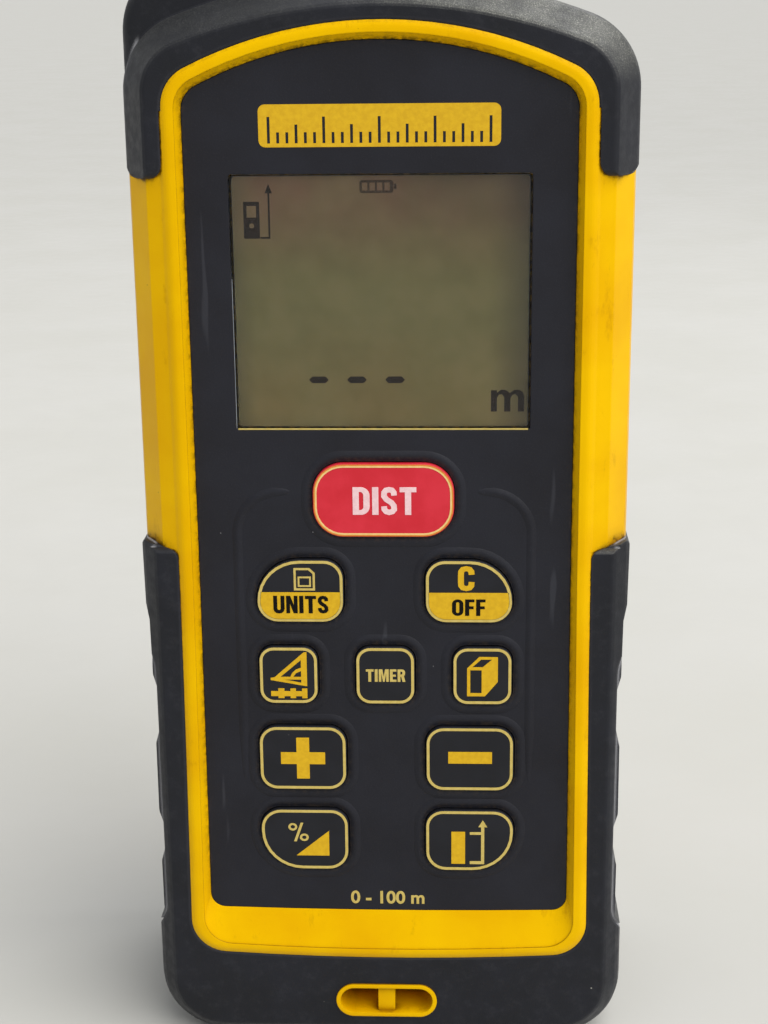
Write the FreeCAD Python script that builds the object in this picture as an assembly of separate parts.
"""Hand-held laser distance meter, standing on its foot.

+Z runs up along the laser beam, +X is to the right seen from the keypad side and the keypad faces -Y.
The origin is the middle of the foot.  All sizes are in millimetres.
"""
import FreeCAD, Part
import math
import os
from FreeCAD import Vector as V

os.makedirs("parts", exist_ok=True)

# ---------------------------------------------------------------- driving dimensions
FACE_Y = -16.8          # front of the keypad panel; depths below are counted from here, into the body
BACK_Y = 18.08          # rear of the rubber mouldings
REAR_FACE_Y = 17.0      # rear of the yellow housing
SPLIT_Y = 1.0           # where the front and rear housings meet
FLOOR_TOP = 1.0         # depth of the housing floor that carries the panel
FLOOR_BOTTOM = 2.6
WALL = 2.0

# outlines seen from the front: half width, top, crown radius, top corner, bottom, bottom corner, belly
# radius and how much wider the foot end is than the rest
CAP = dict(half_w=31.15, top=140.2, crown=71.0, top_r=9.3, bottom=0.0, bottom_r=9.0, belly=None, flare=0.0)
BOOT = dict(half_w=31.4, top=140.2, crown=71.0, top_r=9.3, bottom=0.0, bottom_r=9.0, belly=None, flare=0.0)
BODY = dict(half_w=30.7, top=139.7, crown=70.5, top_r=8.8, bottom=0.5, bottom_r=8.5, belly=None, flare=0.0)
CORE = dict(half_w=28.9, top=138.0, crown=69.0, top_r=7.2, bottom=2.0, bottom_r=7.0, belly=None, flare=0.0)
BEAD = dict(half_w=26.0, top=135.4, crown=52.5, top_r=5.2, bottom=12.9, bottom_r=4.8, belly=370.0,
            flare=0.5)
CREST = dict(half_w=24.3, top=133.8, crown=50.0, top_r=3.9, bottom=14.35, bottom_r=3.8, belly=370.0,
             flare=0.4)
PANEL = dict(half_w=23.6, top=133.0, crown=48.6, top_r=3.2, bottom=19.6, bottom_r=2.0, belly=900.0,
             flare=0.25)
FLARE_TOP = 66.0        # the outlines widen below this height

# (depth behind the panel, inset) pairs of each moulding's front edge, from the front backwards
CAP_EDGE = [(-1.0, 3.5), (-0.93, 3.2), (-0.7, 2.88), (3.5, 0.3), (4.1, 0.07), (4.7, 0.0)]
BOOT_EDGE = [(-0.9, 2.8), (-0.82, 2.5), (-0.55, 2.15), (0.9, 0.8), (1.6, 0.35), (2.6, 0.08), (3.4, 0.0)]
BODY_EDGE = [(0.1, 2.55), (2.6, 0.25), (3.4, 0.0)]
CORE_EDGE = [(1.6, 1.2), (2.8, 0.0)]
BEAD_EDGE = [(1.6, -2.15), (0.1, -2.15), (-0.7, -0.25), (-0.98, 0.15), (-1.16, 0.5), (-1.25, 0.8),
             (-1.28, 1.1)]

# where the rubber mouldings end
CAP_LEG_Z = 117.0
BOOT_SIDE_Z = 71.4
BOOT_INNER_Z = 70.3
RUBBER_INNER_X = 26.1
LEG_CORNER_R = 1.7
LEG_EDGE_R = 1.1

# raised yellow field on the back
PAD_HALF_W = 25.0
PAD_LOW = 24.6
PAD_HIGH = 127.0
PAD_R = 4.0

# the raised shoulder of the cap beside the receiver lens
SHOULDER_TOP = 143.0
SHOULDER_RIGHT = -4.0
SHOULDER_FRONT = 4.7
SHOULDER_R = 9.0

# finger recesses on the sides of the boot: (height, half width) where the side changes direction
GRIP_STEPS = [(78.0, 31.2), (62.7, 30.95), (60.7, 30.48), (53.1, 30.38), (51.3, 29.9), (45.2, 29.9),
              (43.4, 30.4), (33.7, 30.46), (31.9, 29.92), (28.1, 29.92), (26.3, 30.42), (18.6, 30.4),
              (16.4, 31.38), (12.0, 31.4)]
GRIP_STEP_R = 1.6

# outline groove round each side grip
GROOVE_LOW = 15.3
GROOVE_HIGH = 58.5
GROOVE_W = 0.55
GROOVE_FLOOR_X = 29.62

# display
WINDOW_HALF_W = 18.2
WINDOW_LOW = 86.0
WINDOW_HIGH = 117.4
WINDOW_R = 0.5
WINDOW_SET_BACK = 0.12
WINDOW_LEDGE = 0.2

# keys: low x, high x, low z, high z, radii (upper left, upper right, lower right, lower left)
KEYS = {
    "key_measure": (-8.75, 8.75, 72.4, 81.7, (3.7, 3.7, 3.7, 3.7)),
    "key_units": (-16.2, -5.3, 60.95, 69.1, (5.4, 2.4, 2.6, 2.6)),
    "key_clear_off": (5.3, 16.2, 60.95, 69.1, (2.4, 5.4, 2.6, 2.6)),
    "key_angle": (-16.2, -8.8, 49.75, 57.35, (1.8, 1.8, 1.8, 1.8)),
    "key_timer": (-3.7, 3.7, 49.75, 57.35, (1.8, 1.8, 1.8, 1.8)),
    "key_volume": (8.8, 16.2, 49.75, 57.35, (1.8, 1.8, 1.8, 1.8)),
    "key_plus": (-16.5, -5.3, 37.6, 46.3, (2.2, 2.2, 2.2, 2.2)),
    "key_minus": (5.3, 16.5, 37.6, 46.3, (2.2, 2.2, 2.2, 2.2)),
    "key_slope": (-16.6, -5.2, 26.0, 34.5, (2.6, 2.2, 2.6, 5.4)),
    "key_reference": (5.2, 16.6, 26.0, 34.5, (2.2, 2.6, 5.4, 2.6)),
}
KEY_MARGIN = 0.12        # key edge outside its printed border
KEY_GAP = 0.15           # key to panel
KEY_FLANGE = 0.8
KEY_FRONT = -0.6
KEY_EDGE = [(KEY_FRONT, 0.12), (-0.57, 0.05), (-0.48, 0.0), (2.9, 0.0)]

# key mat, contacts and circuit board, as depths behind the panel
MAT_TOP = 4.4
MAT_T = 0.8
BUMP_T = 0.18
PCB_TOP = 5.6
PCB_T = 1.6
PCB_HALF_W = 24.0
PCB_LOW = 20.0
PCB_HIGH = 127.0

# optics
LENS_X = -13.5
LENS_R = 8.0
LASER_X = 9.0
BEAM_Y = 2.5
END_PLATE_LOW = 134.0
END_PLATE_HIGH = 136.8
END_LEFT = -25.0
END_RIGHT = 17.5
END_HALF_Y = 10.5
CHASSIS_LOW = 97.0

# batteries: two AAA cells side by side
CELL_R = 5.25
CELL_LENGTH = 44.5
CELL_X = 5.7
CELL_Y = 8.9
CELL_LOW = 31.6
BAY_HALF_W = 12.4
BAY_LOW = 29.6
BAY_HIGH = 78.0
BAY_FLOOR_Y = 2.8

# battery door and fold-out stop
DOOR_HALF_W = 15.0
DOOR_T = 1.8
DOOR_AXIS_Z = 27.6
DOOR_HIGH = 81.5
STOP_HALF_W = 14.5
STOP_T = 2.2
STOP_AXIS_Y = 16.55
STOP_AXIS_Z = 2.6
STOP_HIGH = 22.6
MOVE_GAP = 0.35
PIN_GAP = 0.05

# fasteners and inserts
SCREW_SPOTS = [(-21.6, 80.0), (21.6, 80.0), (-21.6, 34.0), (21.6, 34.0)]
PCB_SCREW_SPOTS = [(-21.5, 122.5), (21.5, 122.5), (-21.5, 22.8), (21.5, 22.8)]
SCREW_SEAT_Y = 14.6
TRIPOD_Z = 87.0
TRIPOD_WALL_R = 2.55
TRIPOD_LENGTH = 7.0
SLOT_X = -0.3
SLOT_HALF_W = 6.25
SLOT_LOW = 4.6
SLOT_HIGH = 8.3
SLOT_RIM = 0.58
SLOT_BAR_HALF_W = 1.15


# ---------------------------------------------------------------- helpers
def face_y(depth):
    return FACE_Y + depth


def arc(a, b, c):
    return Part.Arc(a, b, c).toShape()


def end_arcs(half_w, end, crown, r, side):
    """Corner centre height, crown tangent point and corner mid point of one end of an outline."""
    if crown is None:
        centre = end - side * r
        tangent = (half_w - r, end)
        half_turn = math.radians(45)
    else:
        origin = end - side * crown
        centre = origin + side * math.sqrt((crown - r) ** 2 - (half_w - r) ** 2)
        scale = crown / (crown - r)
        tangent = ((half_w - r) * scale, origin + (centre - origin) * scale)
        half_turn = math.atan2(abs(centre - origin), half_w - r) / 2
    middle = (half_w - r + r * math.cos(half_turn), centre + side * r * math.sin(half_turn))
    return centre, tangent, middle


def outline(spec, y, inset=0.0):
    """Closed wire of one crowned, round-cornered outline in the plane Y = y, moved in by inset."""
    half_w = spec["half_w"] - inset
    top = spec["top"] - inset
    bottom = spec["bottom"] + inset
    crown = spec["crown"] - inset
    belly = None if spec["belly"] is None else spec["belly"] - inset
    top_r = max(spec["top_r"] - inset, 0.4)
    bottom_r = max(spec["bottom_r"] - inset, 0.4)
    low_w = half_w + spec["flare"]
    top_z, top_t, top_m = end_arcs(half_w, top, crown, top_r, 1)
    low_z, low_t, low_m = end_arcs(low_w, bottom, belly, bottom_r, -1)

    def p(x, z):
        return V(x, y, z)

    edges = [
        Part.makeLine(p(low_w, low_z), p(half_w, FLARE_TOP)),
        Part.makeLine(p(half_w, FLARE_TOP), p(half_w, top_z)),
        arc(p(half_w, top_z), p(*top_m), p(*top_t)),
        arc(p(*top_t), p(0, top), p(-top_t[0], top_t[1])),
        arc(p(-top_t[0], top_t[1]), p(-top_m[0], top_m[1]), p(-half_w, top_z)),
        Part.makeLine(p(-half_w, top_z), p(-half_w, FLARE_TOP)),
        Part.makeLine(p(-half_w, FLARE_TOP), p(-low_w, low_z)),
        arc(p(-low_w, low_z), p(-low_m[0], low_m[1]), p(-low_t[0], low_t[1])),
    ]
    if belly is None:
        edges.append(Part.makeLine(p(-low_t[0], low_t[1]), p(*low_t)))
    else:
        edges.append(arc(p(-low_t[0], low_t[1]), p(0, bottom), p(*low_t)))
    edges.append(arc(p(*low_t), p(*low_m), p(low_w, low_z)))
    return Part.Wire(edges)


def stack(spec, sections):
    """Solid through the same outline at several (y, inset) stations."""
    return Part.makeLoft([outline(spec, y, inset) for y, inset in sections], True, True)


def moulding(spec, front_edge, back_y, back_edge=None):
    """Shell-shaped block with a shaped front edge and a mirrored rear edge."""
    first = front_edge[0][0]
    front = [(face_y(d), inset) for d, inset in front_edge]
    rear = [(back_y - (d - first), inset) for d, inset in reversed(back_edge or front_edge)]
    return stack(spec, front + rear)


def slab(spec, depth_0, depth_1, inset=0.0):
    return stack(spec, [(face_y(depth_0), inset), (face_y(depth_1), inset)])


def box(x0, x1, y0, y1, z0, z1):
    return Part.makeBox(x1 - x0, y1 - y0, z1 - z0, V(x0, y0, z0))


def rod(radius, start, end):
    start = V(*start)
    end = V(*end)
    return Part.makeCylinder(radius, (end - start).Length, start, end - start)


def cone(r0, r1, start, end):
    start = V(*start)
    end = V(*end)
    return Part.makeCone(r0, r1, (end - start).Length, start, end - start)


def round_rect(x0, x1, z0, z1, radii, y, grow=0.0):
    """Wire of a rectangle in XZ with its own radius at each corner (UL, UR, LR, LL)."""
    x0, x1, z0, z1 = x0 - grow, x1 + grow, z0 - grow, z1 + grow
    ul, ur, lr, ll = [max(r + grow, 0.15) for r in radii]
    k = 1 - math.sqrt(0.5)

    def p(x, z):
        return V(x, y, z)

    return Part.Wire([
        Part.makeLine(p(x0 + ll, z0), p(x1 - lr, z0)),
        arc(p(x1 - lr, z0), p(x1 - lr * k, z0 + lr * k), p(x1, z0 + lr)),
        Part.makeLine(p(x1, z0 + lr), p(x1, z1 - ur)),
        arc(p(x1, z1 - ur), p(x1 - ur * k, z1 - ur * k), p(x1 - ur, z1)),
        Part.makeLine(p(x1 - ur, z1), p(x0 + ul, z1)),
        arc(p(x0 + ul, z1), p(x0 + ul * k, z1 - ul * k), p(x0, z1 - ul)),
        Part.makeLine(p(x0, z1 - ul), p(x0, z0 + ll)),
        arc(p(x0, z0 + ll), p(x0 + ll * k, z0 + ll * k), p(x0 + ll, z0)),
    ])


def plate(x0, x1, z0, z1, r, y0, y1):
    """Rounded rectangular plate between two Y planes."""
    wire = round_rect(x0, x1, z0, z1, (r, r, r, r), y0)
    return Part.Face(wire).extrude(V(0, y1 - y0, 0))


def top_plate(x0, x1, y0, y1, r, z0, z1):
    """Rounded rectangular plate between two Z planes."""
    flat = plate(x0, x1, y0, y1, r, 0, z1 - z0)
    flat.rotate(V(0, 0, 0), V(1, 0, 0), 90)
    flat.translate(V(0, y0 + y1, z0))
    return flat


def filleted_prism(points, y0, y1):
    """Prism along Y of a polygon in XZ; each point is (x, z, corner radius)."""
    corners = []
    count = len(points)
    for i in range(count):
        x, z, r = points[i]
        here = V(x, y0, z)
        back = V(points[i - 1][0], y0, points[i - 1][1]) - here
        ahead = V(points[(i + 1) % count][0], y0, points[(i + 1) % count][1]) - here
        back.normalize()
        ahead.normalize()
        if r == 0:
            corners.append((here, here, here))
            continue
        half = back.getAngle(ahead) / 2
        reach = r / math.tan(half)
        bisector = back + ahead
        bisector.normalize()
        centre = here + bisector * (r / math.sin(half))
        corners.append((here + back * reach, centre - bisector * r, here + ahead * reach))
    edges = []
    for i in range(count):
        start, middle, end = corners[i]
        if (end - start).Length > 1e-6:
            edges.append(arc(start, middle, end))
        following = corners[(i + 1) % count][0]
        if (following - end).Length > 1e-6:
            edges.append(Part.makeLine(end, following))
    return Part.Face(Part.Wire(edges)).extrude(V(0, y1 - y0, 0))


def joined(first, *others):
    return first.fuse(list(others)).removeSplitter()


def mirrored(shape):
    return shape.mirror(V(0, 0, 0), V(1, 0, 0))


# ---------------------------------------------------------------- outer mouldings
def cap_region():
    """Everything above the lower ends of the cap's two legs."""
    inner = RUBBER_INNER_X
    outer = CAP["half_w"] - 0.8
    return filleted_prism([
        (-40, CAP_LEG_Z + 12, 0), (-outer, CAP_LEG_Z, 1.0), (-inner, CAP_LEG_Z, LEG_CORNER_R),
        (-inner, 125, 0), (inner, 125, 0), (inner, CAP_LEG_Z, LEG_CORNER_R), (outer, CAP_LEG_Z, 1.0),
        (40, CAP_LEG_Z + 12, 0), (40, 160, 0), (-40, 160, 0)], -25, 25)


def boot_region():
    """Everything below the slanted upper ends of the boot's two legs."""
    inner = RUBBER_INNER_X
    outer = BODY["half_w"] + 0.05
    return filleted_prism([
        (-40, -10, 0), (40, -10, 0), (40, BOOT_SIDE_Z - 18, 0), (outer, BOOT_SIDE_Z, 0.4),
        (inner, BOOT_INNER_Z, 1.2), (inner, 20, 0), (-inner, 20, 0), (-inner, BOOT_INNER_Z, 1.2),
        (-outer, BOOT_SIDE_Z, 0.4), (-40, BOOT_SIDE_Z - 18, 0)], -25, 25)


def leg_end_rounding(z, side):
    """Waste in front of a rubber leg's end at height z, which leaves a rounded front edge there."""
    r = LEG_EDGE_R
    front = face_y(-1.05)
    low, high = sorted((z - side * r, z + side * 3))
    edge = rod(r, (-40, front + r, z - side * r), (40, front + r, z - side * r))
    bar = box(-40, 40, front - 3, front + r, low, high).cut(edge)
    return bar.cut(box(1 - RUBBER_INNER_X, RUBBER_INNER_X - 1, -40, 0, 0, 150))


def rear_pad():
    """Raised yellow field on the back, between the rubber edges."""
    size = (-PAD_HALF_W, PAD_HALF_W, PAD_LOW, PAD_HIGH)
    stations = [(13.0, 0.0), (REAR_FACE_Y - 0.4, 0.0), (REAR_FACE_Y, -0.4)]
    wires = [round_rect(*size, (PAD_R,) * 4, y, grow) for y, grow in stations]
    return Part.makeLoft(wires, True, True)


def stop_lug(side):
    lug = box(STOP_HALF_W + MOVE_GAP, STOP_HALF_W + 3.6, 12.5, 17.6, 0.9, 6.5)
    lug = lug.makeFillet(1.2, [e for e in lug.Edges if is_edge_at(e, y=17.6) and is_edge_along(e, "x")])
    return lug if side > 0 else mirrored(lug)


def is_edge_along(edge, axis):
    a, b = edge.Vertexes[0].Point, edge.Vertexes[-1].Point
    return abs(getattr(b, axis) - getattr(a, axis)) > 0.9 * edge.Length


def is_edge_at(edge, **where):
    return all(abs(getattr(v.Point, axis) - value) < 1e-6
               for v in edge.Vertexes for axis, value in where.items())


def envelope():
    """Outer form of the two housings together, before they are hollowed."""
    body = moulding(BODY, BODY_EDGE, REAR_FACE_Y)
    body = body.cut(cap_region()).cut(boot_region())
    core = moulding(CORE, CORE_EDGE, BACK_Y - 2.6)
    bead = stack(BEAD, [(face_y(d), inset) for d, inset in BEAD_EDGE])
    return joined(core, body, bead, rear_pad(), stop_lug(1), stop_lug(-1))


def stop_recess():
    """Space on the back of the foot that the fold-out stop lies in."""
    width = STOP_HALF_W + MOVE_GAP
    hollow = filleted_prism([
        (-width, -5, 0), (width, -5, 0), (width, STOP_HIGH + MOVE_GAP, 2.5),
        (-width, STOP_HIGH + MOVE_GAP, 2.5)], STOP_AXIS_Y - STOP_T / 2 - MOVE_GAP, 25)
    return hollow


def end_opening(grow=0.0):
    """Opening in the top that shows the receiver lens and the laser window."""
    return top_plate(END_LEFT - grow, END_RIGHT + grow, BEAM_Y - END_HALF_Y - grow,
                     BEAM_Y + END_HALF_Y + grow, 4.0 + grow, 125.0, 150.0)


def shoulder():
    """Raised part of the cap that shields the receiver lens."""
    left = -CAP["half_w"]
    block = filleted_prism([
        (left, 122, 0), (left, SHOULDER_TOP, SHOULDER_R), (SHOULDER_RIGHT - 6, SHOULDER_TOP - 0.6, 9.0),
        (SHOULDER_RIGHT, 138.5, 0), (SHOULDER_RIGHT, 122, 0)],
        face_y(SHOULDER_FRONT), BACK_Y - 5.7)
    upper = [e for e in block.Edges if min(v.Point.z for v in e.Vertexes) > 138.6
             and (is_edge_at(e, y=face_y(SHOULDER_FRONT)) or is_edge_at(e, y=BACK_Y - 5.7))]
    return block.makeFillet(1.6, upper)


def top_bumper(outer):
    cap = joined(moulding(CAP, CAP_EDGE, BACK_Y), shoulder()).common(cap_region())
    cap = cap.cut(leg_end_rounding(CAP_LEG_Z, -1)).cut(outer).cut(end_opening())
    return largest(cap)


def finger_recesses():
    """Material outside the stepped right side of the boot."""
    side = [(half_w, z, GRIP_STEP_R) for z, half_w in GRIP_STEPS[1:-1]]
    (top, top_w), (low, low_w) = GRIP_STEPS[0], GRIP_STEPS[-1]
    outer = [(low_w, low, 0), (45, low, 0), (45, top, 0), (top_w, top, 0)]
    return filleted_prism(outer + side, -25, 25)


def grip_boot(outer):
    boot = moulding(BOOT, BOOT_EDGE, BACK_Y).common(boot_region())
    cutter = finger_recesses()
    boot = boot.cut(cutter).cut(mirrored(cutter))
    for side in (1, -1):
        boot = boot.cut(grip_groove(side))
    boot = boot.cut(leg_end_rounding(BOOT_INNER_Z + 0.4, 1))
    boot = boot.cut(outer).cut(stop_recess()).cut(slot_prism(SLOT_RIM, -3, 6))
    return largest(boot)


def grip_groove(side):
    """Shallow outline groove round the side grip."""
    half_w = -face_y(0.1)
    outer = plate(-half_w, half_w, GROOVE_LOW, GROOVE_HIGH, 5.0, 0, 3.0)
    inner = plate(-half_w + GROOVE_W, half_w - GROOVE_W, GROOVE_LOW + GROOVE_W, GROOVE_HIGH - GROOVE_W,
                  5.0 - GROOVE_W, -1, 4.0)
    ring = outer.cut(inner)
    ring.rotate(V(0, 0, 0), V(0, 0, 1), -90)
    ring.translate(V(GROOVE_FLOOR_X, 0, 0))
    return ring if side > 0 else mirrored(ring)


def largest(shape):
    """The biggest solid of a cut result; offcuts thinner than the moulding are dropped."""
    return max(shape.Solids, key=lambda s: s.Volume)


def slot_prism(grow, depth_0, depth_1):
    half_h = (SLOT_HIGH - SLOT_LOW) / 2
    return plate(SLOT_X - SLOT_HALF_W - grow, SLOT_X + SLOT_HALF_W + grow, SLOT_LOW - grow,
                 SLOT_HIGH + grow, half_h + grow - 0.01, face_y(depth_0), face_y(depth_1))


def lanyard_loop():
    """Yellow insert in the foot: a rimmed slot with a bar that the strap goes round."""
    rim = slot_prism(SLOT_RIM, -1.15, 6.0)
    pocket = slot_prism(0.0, -3.0, 5.2)
    bar = box(SLOT_X - SLOT_BAR_HALF_W, SLOT_X + SLOT_BAR_HALF_W, face_y(-0.5), face_y(1.4),
              SLOT_LOW - 0.4, SLOT_HIGH + 0.4)
    return joined(rim.cut(pocket), bar)


def cavity():
    """Inside of the two housings."""
    return stack(CORE, [(face_y(FLOOR_BOTTOM), WALL + 0.6), (face_y(4.0), WALL),
                        (BACK_Y - 5.6, WALL), (BACK_Y - 4.6, WALL + 0.6)])


def window_plate(grow, depth_0, depth_1):
    return plate(-WINDOW_HALF_W - grow, WINDOW_HALF_W + grow, WINDOW_LOW - grow, WINDOW_HIGH + grow,
                 WINDOW_R, face_y(depth_0), face_y(depth_1))


def key_prism(name, grow, depth_0, depth_1):
    x0, x1, z0, z1, radii = KEYS[name]
    wire = round_rect(x0, x1, z0, z1, radii, face_y(depth_0), KEY_MARGIN + grow)
    return Part.Face(wire).extrude(V(0, depth_1 - depth_0, 0))


def key_openings(depth_0, depth_1):
    return [key_prism(name, KEY_GAP, depth_0, depth_1) for name in KEYS]


def screw_boss(x, z, r, y0, y1):
    return rod(r, (x, y0, z), (x, y1, z))


def front_housing(outer):
    pocket = Part.makeLoft([outline(CREST, face_y(-1.4)), outline(CREST, face_y(-1.15)),
                            outline(PANEL, face_y(0.0))], True, True)
    pocket = pocket.fuse(slab(PANEL, -0.001, FLOOR_TOP))
    shell = outer.common(box(-50, 50, -30, SPLIT_Y, -10, 200))
    shell = shell.cut(pocket).cut(cavity()).cut(end_opening())
    shell = shell.cut(slot_prism(SLOT_RIM, -3, 6))
    shell = shell.cut(window_plate(-WINDOW_LEDGE, -1, 6))
    for opening in key_openings(-1, 4):
        shell = shell.cut(opening)
    bosses = [screw_boss(x, z, 2.7, face_y(FLOOR_BOTTOM) - 0.2, SPLIT_Y) for x, z in SCREW_SPOTS]
    bosses += [screw_boss(x, z, 1.9, face_y(FLOOR_BOTTOM) - 0.2, face_y(PCB_TOP))
               for x, z in PCB_SCREW_SPOTS]
    shell = joined(shell, *bosses)
    for x, z in SCREW_SPOTS:
        shell = shell.cut(rod(1.1, (x, -8, z), (x, 5, z)))
    for x, z in PCB_SCREW_SPOTS:
        shell = shell.cut(rod(0.8, (x, face_y(FLOOR_BOTTOM), z), (x, face_y(PCB_TOP) + 1, z)))
    return largest(shell.cut(seal_ring(0.9)))


def seal_ring(height):
    """Sealing cord between the housings, in a groove of the front one."""
    outer = stack(CORE, [(SPLIT_Y - height, 0.7), (SPLIT_Y, 0.7)])
    inner = stack(CORE, [(SPLIT_Y - height, 1.4), (SPLIT_Y, 1.4)])
    return outer.cut(inner).cut(end_opening(1.0))


def door_recess():
    width = DOOR_HALF_W + MOVE_GAP
    low = DOOR_AXIS_Z - DOOR_T / 2 - MOVE_GAP
    return plate(-width, width, low, DOOR_HIGH + MOVE_GAP, 0.9, REAR_FACE_Y - DOOR_T - MOVE_GAP, 25)


def rear_housing(outer):
    shell = outer.common(box(-50, 50, SPLIT_Y, 30, -10, 200)).cut(cavity()).cut(end_opening())
    tub = box(-BAY_HALF_W - 1.4, BAY_HALF_W + 1.4, BAY_FLOOR_Y - 1.4, 14.9, BAY_LOW - 1.4, BAY_HIGH + 1.4)
    boss = rod(6.6, (0, 8.4, TRIPOD_Z), (0, 15, TRIPOD_Z))
    posts = [screw_boss(x, z, 3.4, SPLIT_Y, 14.5) for x, z in SCREW_SPOTS]
    backing = plate(-DOOR_HALF_W - 2, DOOR_HALF_W + 2, 25.4, 83.4, 2.0, 13.0, 15.2)
    shell = joined(shell, tub, boss, backing, *posts)
    shell = shell.cut(box(-BAY_HALF_W, BAY_HALF_W, BAY_FLOOR_Y, 20, BAY_LOW, BAY_HIGH))
    shell = shell.cut(door_recess()).cut(stop_recess())
    shell = shell.cut(plate(-16.2, 16.2, 98.0, 124.0, 1.5, REAR_FACE_Y - 0.3, 20))
    shell = shell.cut(rod(4.5, (0, 9.0, TRIPOD_Z), (0, 20, TRIPOD_Z)))
    shell = shell.cut(rod(0.5, (-18, door_axis_y(), DOOR_AXIS_Z), (18, door_axis_y(), DOOR_AXIS_Z)))
    shell = shell.cut(rod(0.6, (-17.3, STOP_AXIS_Y, STOP_AXIS_Z), (17.3, STOP_AXIS_Y, STOP_AXIS_Z)))
    for x, z in SCREW_SPOTS:
        shell = shell.cut(rod(1.4, (x, -5, z), (x, 20, z))).cut(rod(2.6, (x, SCREW_SEAT_Y, z), (x, 20, z)))
    return largest(shell)


def door_axis_y():
    return REAR_FACE_Y - DOOR_T / 2


# ---------------------------------------------------------------- face
def face_panel():
    panel = slab(PANEL, 0.0, FLOOR_TOP, 0.05)
    panel = panel.cut(window_plate(0.06, -1, 2))
    for opening in key_openings(-1, 2):
        panel = panel.cut(opening)
    return panel


def display_window():
    return window_plate(0.0, WINDOW_SET_BACK, FLOOR_TOP)


def key(name):
    x0, x1, z0, z1, radii = KEYS[name]
    wires = [round_rect(x0, x1, z0, z1, radii, face_y(d), KEY_MARGIN - inset) for d, inset in KEY_EDGE]
    cap = Part.makeLoft(wires, True, True)
    flange = key_prism(name, KEY_FLANGE, FLOOR_BOTTOM + 0.3, FLOOR_BOTTOM + 0.7)
    return joined(cap, flange)


def keypad_mat():
    """Silicone sheet under the keys, with a soft bump below each one."""
    y0 = face_y(MAT_TOP)
    mat = plate(-18.4, 18.4, 23.6, 82.8, 2.0, y0, y0 + MAT_T)
    bumps = []
    for x0, x1, z0, z1, _ in KEYS.values():
        x, z = (x0 + x1) / 2, (z0 + z1) / 2
        bumps.append(cone(2.0, 1.6, (x, y0 + MAT_T, z), (x, y0 + MAT_T + BUMP_T, z)))
    return joined(mat, *bumps)


def dome_contacts():
    """One pressed metal dome on the board under each key."""
    domes = []
    for x0, x1, z0, z1, _ in KEYS.values():
        x, z = (x0 + x1) / 2, (z0 + z1) / 2
        top = face_y(PCB_TOP)
        domes.append(cone(2.4, 1.2, (x, top, z), (x, top - 0.22, z)))
    return Part.makeCompound(domes)


# ---------------------------------------------------------------- display module
def lcd_frame():
    y0, y1 = face_y(FLOOR_BOTTOM + 0.1), face_y(PCB_TOP)
    frame = plate(-20.2, 20.2, 84.6, 119.6, 1.0, y0, y1)
    frame = frame.cut(plate(-18.6, 18.6, 86.2, 117.6, 0.3, y0 - 1, y0 + 0.9))
    return frame.cut(plate(-17.8, 17.8, 87.2, 116.8, 0.3, y0, y1 + 1))


def lcd_glass():
    return window_plate(-WINDOW_LEDGE - 0.06, FLOOR_TOP + 0.05, FLOOR_TOP + 2.45)


def light_guide():
    y0 = face_y(FLOOR_BOTTOM + 0.85)
    return plate(-17.4, 17.4, 90.2, 116.6, 0.3, y0, y0 + 1.2)


def zebra_strip():
    """Elastomer strip that joins the display glass to the board."""
    y0 = face_y(FLOOR_BOTTOM + 0.85)
    return box(-15.5, 15.5, y0, face_y(PCB_TOP), 87.6, 89.4)


# ---------------------------------------------------------------- electronics
def main_board():
    y0 = face_y(PCB_TOP)
    board = plate(-PCB_HALF_W, PCB_HALF_W, PCB_LOW, PCB_HIGH, 2.0, y0, y0 + PCB_T)
    for x, z in SCREW_SPOTS:
        board = board.cut(rod(3.0, (x, y0 - 1, z), (x, y0 + 3, z)))
    for x, z in PCB_SCREW_SPOTS:
        board = board.cut(rod(1.1, (x, y0 - 1, z), (x, y0 + 3, z)))
    return board


def board_back():
    return face_y(PCB_TOP + PCB_T)


def chip(x, z, half_w, half_h, height):
    y0 = board_back()
    return plate(x - half_w, x + half_w, z - half_h, z + half_h, 0.2, y0, y0 + height)


def shield_can():
    outer = chip(8.0, 110.0, 8.0, 9.0, 1.4)
    return outer.cut(box(0.2, 15.8, board_back() - 1, board_back() + 1.2, 101.2, 118.8))


def buzzer():
    y0 = board_back()
    body = rod(6.0, (-12.0, y0, 84.0), (-12.0, y0 + 3.0, 84.0))
    return body.cut(rod(0.9, (-12.0, y0 + 1.0, 84.0), (-12.0, y0 + 4.0, 84.0)))


def board_screws():
    y0 = board_back()
    screws = []
    for x, z in PCB_SCREW_SPOTS:
        head = rod(1.8, (x, y0, z), (x, y0 + 1.1, z)).cut(rod(0.6, (x, y0 + 0.5, z), (x, y0 + 2, z)))
        screws.append(joined(head, rod(0.8, (x, face_y(FLOOR_BOTTOM) + 0.2, z), (x, y0, z))))
    return Part.makeCompound(screws)


def housing_screws():
    screws = []
    for x, z in SCREW_SPOTS:
        seat = SCREW_SEAT_Y
        head = rod(2.3, (x, seat, z), (x, seat + 1.8, z)).cut(hex_socket(x, z, seat + 0.9, seat + 2))
        screws.append(joined(head, rod(1.1, (x, -7.5, z), (x, seat, z))))
    return Part.makeCompound(screws)


def hex_socket(x, z, y0, y1):
    points = [(x + 1.15 * math.cos(math.radians(60 * i)), z + 1.15 * math.sin(math.radians(60 * i)), 0)
              for i in range(6)]
    return filleted_prism(points, y0, y1)


def ribbon_cable():
    """Flat cable from the receiver board down to the main board."""
    y0 = board_back()
    tail = box(-18.0, -9.0, y0, y0 + 0.3, 90.5, 95.4)
    rise = box(-18.0, -9.0, y0 + 0.3, BEAM_Y, 95.1, 95.4)
    return joined(tail, rise)


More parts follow.
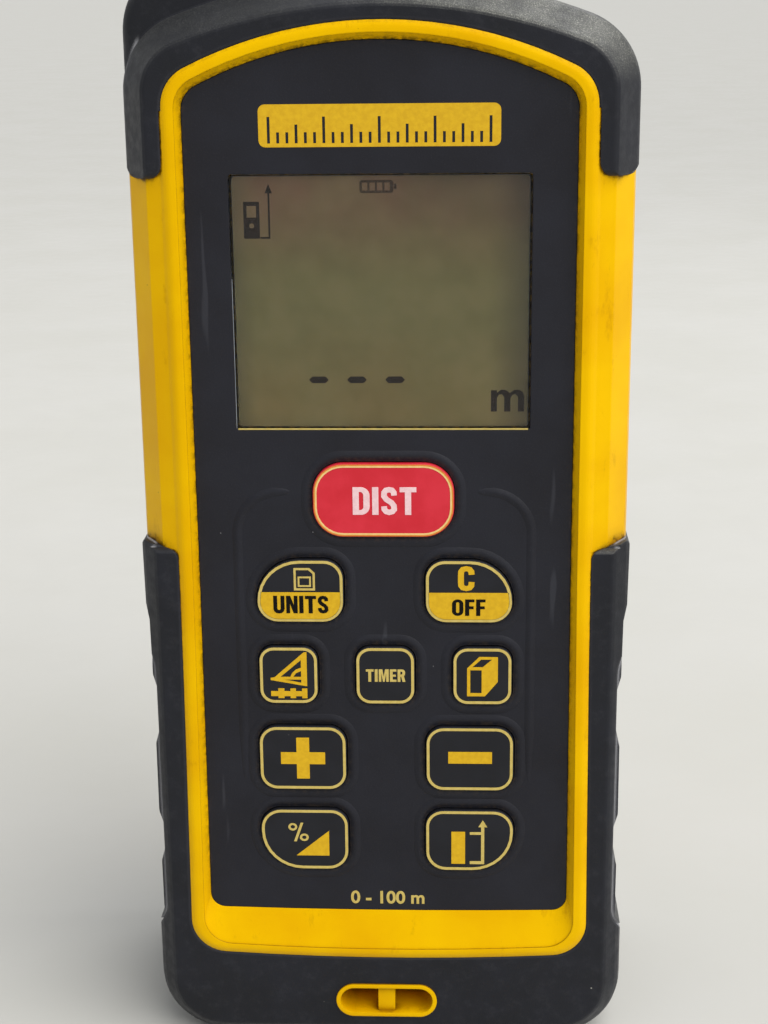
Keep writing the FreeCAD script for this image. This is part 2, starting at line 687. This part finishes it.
# ---------------------------------------------------------------- optics
def end_plate():
    """Black plate in the top, with the holes for the lens and the laser window."""
    cover = top_plate(END_LEFT, END_RIGHT, BEAM_Y - END_HALF_Y, BEAM_Y + END_HALF_Y, 4.0,
                      END_PLATE_LOW, END_PLATE_HIGH)
    cover = cover.cut(rod(LENS_R + 0.6, (LENS_X, BEAM_Y, 130), (LENS_X, BEAM_Y, 140)))
    cover = cover.cut(cone(LENS_R + 0.6, LENS_R + 1.6, (LENS_X, BEAM_Y, END_PLATE_HIGH - 1.0),
                           (LENS_X, BEAM_Y, END_PLATE_HIGH)))
    cover = cover.cut(rod(3.2, (LASER_X, BEAM_Y, 130), (LASER_X, BEAM_Y, 140)))
    return cover.cut(cone(3.2, 4.4, (LASER_X, BEAM_Y, END_PLATE_HIGH - 1.2),
                          (LASER_X, BEAM_Y, END_PLATE_HIGH)))


def receiver_lens():
    """Plano-convex collecting lens."""
    base = 131.6
    disc = rod(LENS_R, (LENS_X, BEAM_Y, base), (LENS_X, BEAM_Y, base + 1.6))
    sphere_r = 19.0
    drop = math.sqrt(sphere_r ** 2 - LENS_R ** 2)
    ball = Part.makeSphere(sphere_r, V(LENS_X, BEAM_Y, base + 1.6 - drop))
    crown = ball.common(rod(LENS_R, (LENS_X, BEAM_Y, base + 1.6), (LENS_X, BEAM_Y, base + 6)))
    return joined(disc, crown)


def lens_ring():
    ring = rod(LENS_R + 0.5, (LENS_X, BEAM_Y, 133.25), (LENS_X, BEAM_Y, 134.6))
    return ring.cut(rod(LENS_R - 0.6, (LENS_X, BEAM_Y, 130), (LENS_X, BEAM_Y, 140))).cut(receiver_lens())


def optics_chassis():
    """Cast block that holds the lens, the laser barrel and the receiver in line."""
    block = top_plate(-23.5, 15.0, BEAM_Y - 9.6, BEAM_Y + 9.0, 3.0, CHASSIS_LOW, 133.2)
    block = block.cut(rod(LENS_R, (LENS_X, BEAM_Y, 131.6), (LENS_X, BEAM_Y, 140)))
    block = block.cut(cone(2.2, LENS_R - 0.8, (LENS_X, BEAM_Y, CHASSIS_LOW + 3), (LENS_X, BEAM_Y, 131.7)))
    block = block.cut(rod(3.2, (LENS_X, BEAM_Y, 90), (LENS_X, BEAM_Y, CHASSIS_LOW + 3)))
    block = block.cut(rod(3.6, (LASER_X, BEAM_Y, 90), (LASER_X, BEAM_Y, 140)))
    for x0, x1 in ((-22.0, -17.5), (-3.0, 3.5)):
        block = block.cut(box(x0, x1, BEAM_Y + 4.0, BEAM_Y + 12, 101, 124))
    return largest(block.common(cavity_for_optics()))


def cavity_for_optics():
    return stack(CORE, [(-20, WALL + 0.3), (20, WALL + 0.3)])


def laser_barrel():
    tube = rod(3.6, (LASER_X, BEAM_Y, 104), (LASER_X, BEAM_Y, 131.0))
    return tube.cut(rod(2.7, (LASER_X, BEAM_Y, 100), (LASER_X, BEAM_Y, 140)))


def collimator_lens():
    disc = rod(2.7, (LASER_X, BEAM_Y, 127.0), (LASER_X, BEAM_Y, 128.2))
    dome = Part.makeSphere(6.0, V(LASER_X, BEAM_Y, 128.2 - math.sqrt(36 - 2.7 ** 2)))
    return joined(disc, dome.common(rod(2.7, (LASER_X, BEAM_Y, 128.2), (LASER_X, BEAM_Y, 132))))


def laser_diode():
    can = rod(2.7, (LASER_X, BEAM_Y, 104.0), (LASER_X, BEAM_Y, 105.4))
    cap = rod(1.9, (LASER_X, BEAM_Y, 105.4), (LASER_X, BEAM_Y, 108.6))
    pins = [rod(0.22, (LASER_X + dx, BEAM_Y + dy, 98.0), (LASER_X + dx, BEAM_Y + dy, 104.1))
            for dx, dy in ((-0.9, 0.6), (0.9, 0.6), (0.0, -0.9))]
    return joined(can, cap, *pins)


def laser_window():
    return rod(3.2, (LASER_X, BEAM_Y, 134.3), (LASER_X, BEAM_Y, 135.3))


def optical_filter():
    return rod(3.2, (LENS_X, BEAM_Y, 98.6), (LENS_X, BEAM_Y, 99.6))


def receiver_board():
    y_mid = BEAM_Y
    board = box(-20.5, -6.5, y_mid - 7.0, y_mid + 7.0, 95.4, 97.0)
    return board


def photodiode():
    return rod(2.6, (LENS_X, BEAM_Y, 97.0), (LENS_X, BEAM_Y, 98.6))


# ---------------------------------------------------------------- power
def cell(x, up):
    """One AAA cell with its raised plus end."""
    low, high = CELL_LOW, CELL_LOW + CELL_LENGTH
    if up:
        body = rod(CELL_R, (x, CELL_Y, low), (x, CELL_Y, high - 0.9))
        return joined(body, rod(1.9, (x, CELL_Y, high - 0.9), (x, CELL_Y, high)))
    body = rod(CELL_R, (x, CELL_Y, low + 0.9), (x, CELL_Y, high))
    return joined(body, rod(1.9, (x, CELL_Y, low), (x, CELL_Y, low + 0.9)))


def contact_spring(x, z, toward):
    """Conical battery spring, drawn as stacked shrinking rings joined by a core strip."""
    end = z + toward * 1.9
    outer = cone(3.4, 2.0, (x, CELL_Y, z), (x, CELL_Y, end))
    return outer.cut(cone(2.8, 1.4, (x, CELL_Y, z - toward * 0.01), (x, CELL_Y, end + toward * 0.01)))


def battery_springs():
    left = contact_spring(-CELL_X, BAY_LOW + 0.4, 1).cut(cell(-CELL_X, True))
    right = contact_spring(CELL_X, BAY_HIGH - 0.4, -1).cut(cell(CELL_X, False))
    return Part.makeCompound([left, right])


def battery_plates():
    """Sheet contacts on the end walls of the bay."""
    pieces = [box(-CELL_X - 4, -CELL_X + 4, CELL_Y - 4, CELL_Y + 4, BAY_LOW, BAY_LOW + 0.4),
              box(CELL_X - 4, CELL_X + 4, CELL_Y - 4, CELL_Y + 4, BAY_HIGH - 0.4, BAY_HIGH),
              box(-CELL_X - 3, -CELL_X + 3, CELL_Y - 3, CELL_Y + 3, CELL_LOW + CELL_LENGTH, BAY_HIGH),
              box(CELL_X - 3, CELL_X + 3, CELL_Y - 3, CELL_Y + 3, BAY_LOW, CELL_LOW)]
    return Part.makeCompound(pieces)


def battery_door():
    y0 = REAR_FACE_Y - DOOR_T
    door = plate(-DOOR_HALF_W, DOOR_HALF_W, DOOR_AXIS_Z, DOOR_HIGH, 0.3, y0, REAR_FACE_Y)
    edge = rod(DOOR_T / 2, (-DOOR_HALF_W, door_axis_y(), DOOR_AXIS_Z),
               (DOOR_HALF_W, door_axis_y(), DOOR_AXIS_Z))
    door = joined(door, edge)
    ribs = [box(-10.5, 10.5, y0 - 0.5, y0 + 0.1, z, z + 1.0) for z in (38.0, 53.0, 68.0)]
    door = joined(door, *ribs)
    for i in range(5):
        z = 71.0 + 1.7 * i
        door = door.cut(box(-6.0, 6.0, REAR_FACE_Y - 0.45, REAR_FACE_Y + 1, z, z + 0.8))
    bore = rod(0.5 + PIN_GAP, (-20, door_axis_y(), DOOR_AXIS_Z), (20, door_axis_y(), DOOR_AXIS_Z))
    return door.cut(bore)


def door_pin():
    return rod(0.5, (-17.0, door_axis_y(), DOOR_AXIS_Z), (17.0, door_axis_y(), DOOR_AXIS_Z))


# ---------------------------------------------------------------- back of the foot
def measuring_stop():
    """Flap that folds out of the foot to hook an edge or to reach into a corner."""
    y0, y1 = STOP_AXIS_Y - STOP_T / 2, STOP_AXIS_Y + STOP_T / 2
    flap = filleted_prism([
        (-STOP_HALF_W, STOP_AXIS_Z, 0), (STOP_HALF_W, STOP_AXIS_Z, 0), (STOP_HALF_W, STOP_HIGH, 2.2),
        (-STOP_HALF_W, STOP_HIGH, 2.2)], y0, y1)
    knuckle = rod(STOP_T / 2, (-STOP_HALF_W, STOP_AXIS_Y, STOP_AXIS_Z),
                  (STOP_HALF_W, STOP_AXIS_Y, STOP_AXIS_Z))
    flap = joined(flap, knuckle)
    flap = flap.cut(plate(-5.0, 5.0, 18.6, 30.0, 2.0, y1 - 0.9, y1 + 2))
    flap = flap.cut(plate(-9.0, 9.0, 7.0, 14.0, 2.0, y1 - 0.4, y1 + 2))
    bore = rod(0.6 + PIN_GAP, (-20, STOP_AXIS_Y, STOP_AXIS_Z), (20, STOP_AXIS_Y, STOP_AXIS_Z))
    return flap.cut(bore)


def stop_pin():
    return rod(0.6, (-17.0, STOP_AXIS_Y, STOP_AXIS_Z), (17.0, STOP_AXIS_Y, STOP_AXIS_Z))


def tripod_insert():
    insert = rod(4.5, (0, 9.0, TRIPOD_Z), (0, REAR_FACE_Y - 0.2, TRIPOD_Z))
    end = REAR_FACE_Y - 0.2
    return insert.cut(rod(TRIPOD_WALL_R, (0, end - TRIPOD_LENGTH, TRIPOD_Z), (0, end + 1, TRIPOD_Z)))


def rear_label():
    return plate(-16.0, 16.0, 98.2, 123.8, 1.4, REAR_FACE_Y - 0.3, REAR_FACE_Y - 0.05)


# ---------------------------------------------------------------- write every piece
def build():
    outer = envelope()
    shapes = {
        "front_housing": front_housing(outer),
        "rear_housing": rear_housing(outer),
        "top_bumper": top_bumper(outer),
        "grip_boot": grip_boot(outer),
        "lanyard_loop": lanyard_loop(),
        "housing_seal": seal_ring(0.9),
        "face_panel": face_panel(),
        "display_window": display_window(),
        "lcd_frame": lcd_frame(),
        "lcd_glass": lcd_glass(),
        "light_guide": light_guide(),
        "zebra_strip": zebra_strip(),
        "keypad_mat": keypad_mat(),
        "dome_contacts": dome_contacts(),
        "main_board": main_board(),
        "processor_chip": chip(2.0, 66.0, 5.0, 5.0, 1.2),
        "memory_chip": chip(14.0, 60.0, 3.0, 2.5, 1.0),
        "tilt_sensor": chip(-14.0, 62.0, 2.5, 2.5, 1.0),
        "power_inductor": chip(-14.0, 50.0, 3.0, 3.0, 2.2),
        "shield_can": shield_can(),
        "buzzer": buzzer(),
        "board_screws": board_screws(),
        "housing_screws": housing_screws(),
        "ribbon_cable": ribbon_cable(),
        "end_plate": end_plate(),
        "receiver_lens": receiver_lens(),
        "lens_ring": lens_ring(),
        "optics_chassis": optics_chassis(),
        "laser_barrel": laser_barrel(),
        "collimator_lens": collimator_lens(),
        "laser_diode": laser_diode(),
        "laser_window": laser_window(),
        "optical_filter": optical_filter(),
        "photodiode": photodiode(),
        "receiver_board": receiver_board(),
        "battery_left": cell(-CELL_X, True),
        "battery_right": cell(CELL_X, False),
        "battery_springs": battery_springs(),
        "battery_plates": battery_plates(),
        "battery_door": battery_door(),
        "door_pin": door_pin(),
        "measuring_stop": measuring_stop(),
        "stop_pin": stop_pin(),
        "tripod_insert": tripod_insert(),
        "rear_label": rear_label(),
    }
    for name in KEYS:
        shapes[name] = key(name)
    return shapes


for node, shape in build().items():
    shape.exportStep(f"parts/{node}.step")
    print(f"{node:18s} solids {len(shape.Solids)} valid {shape.isValid()} volume {shape.Volume:9.2f}")
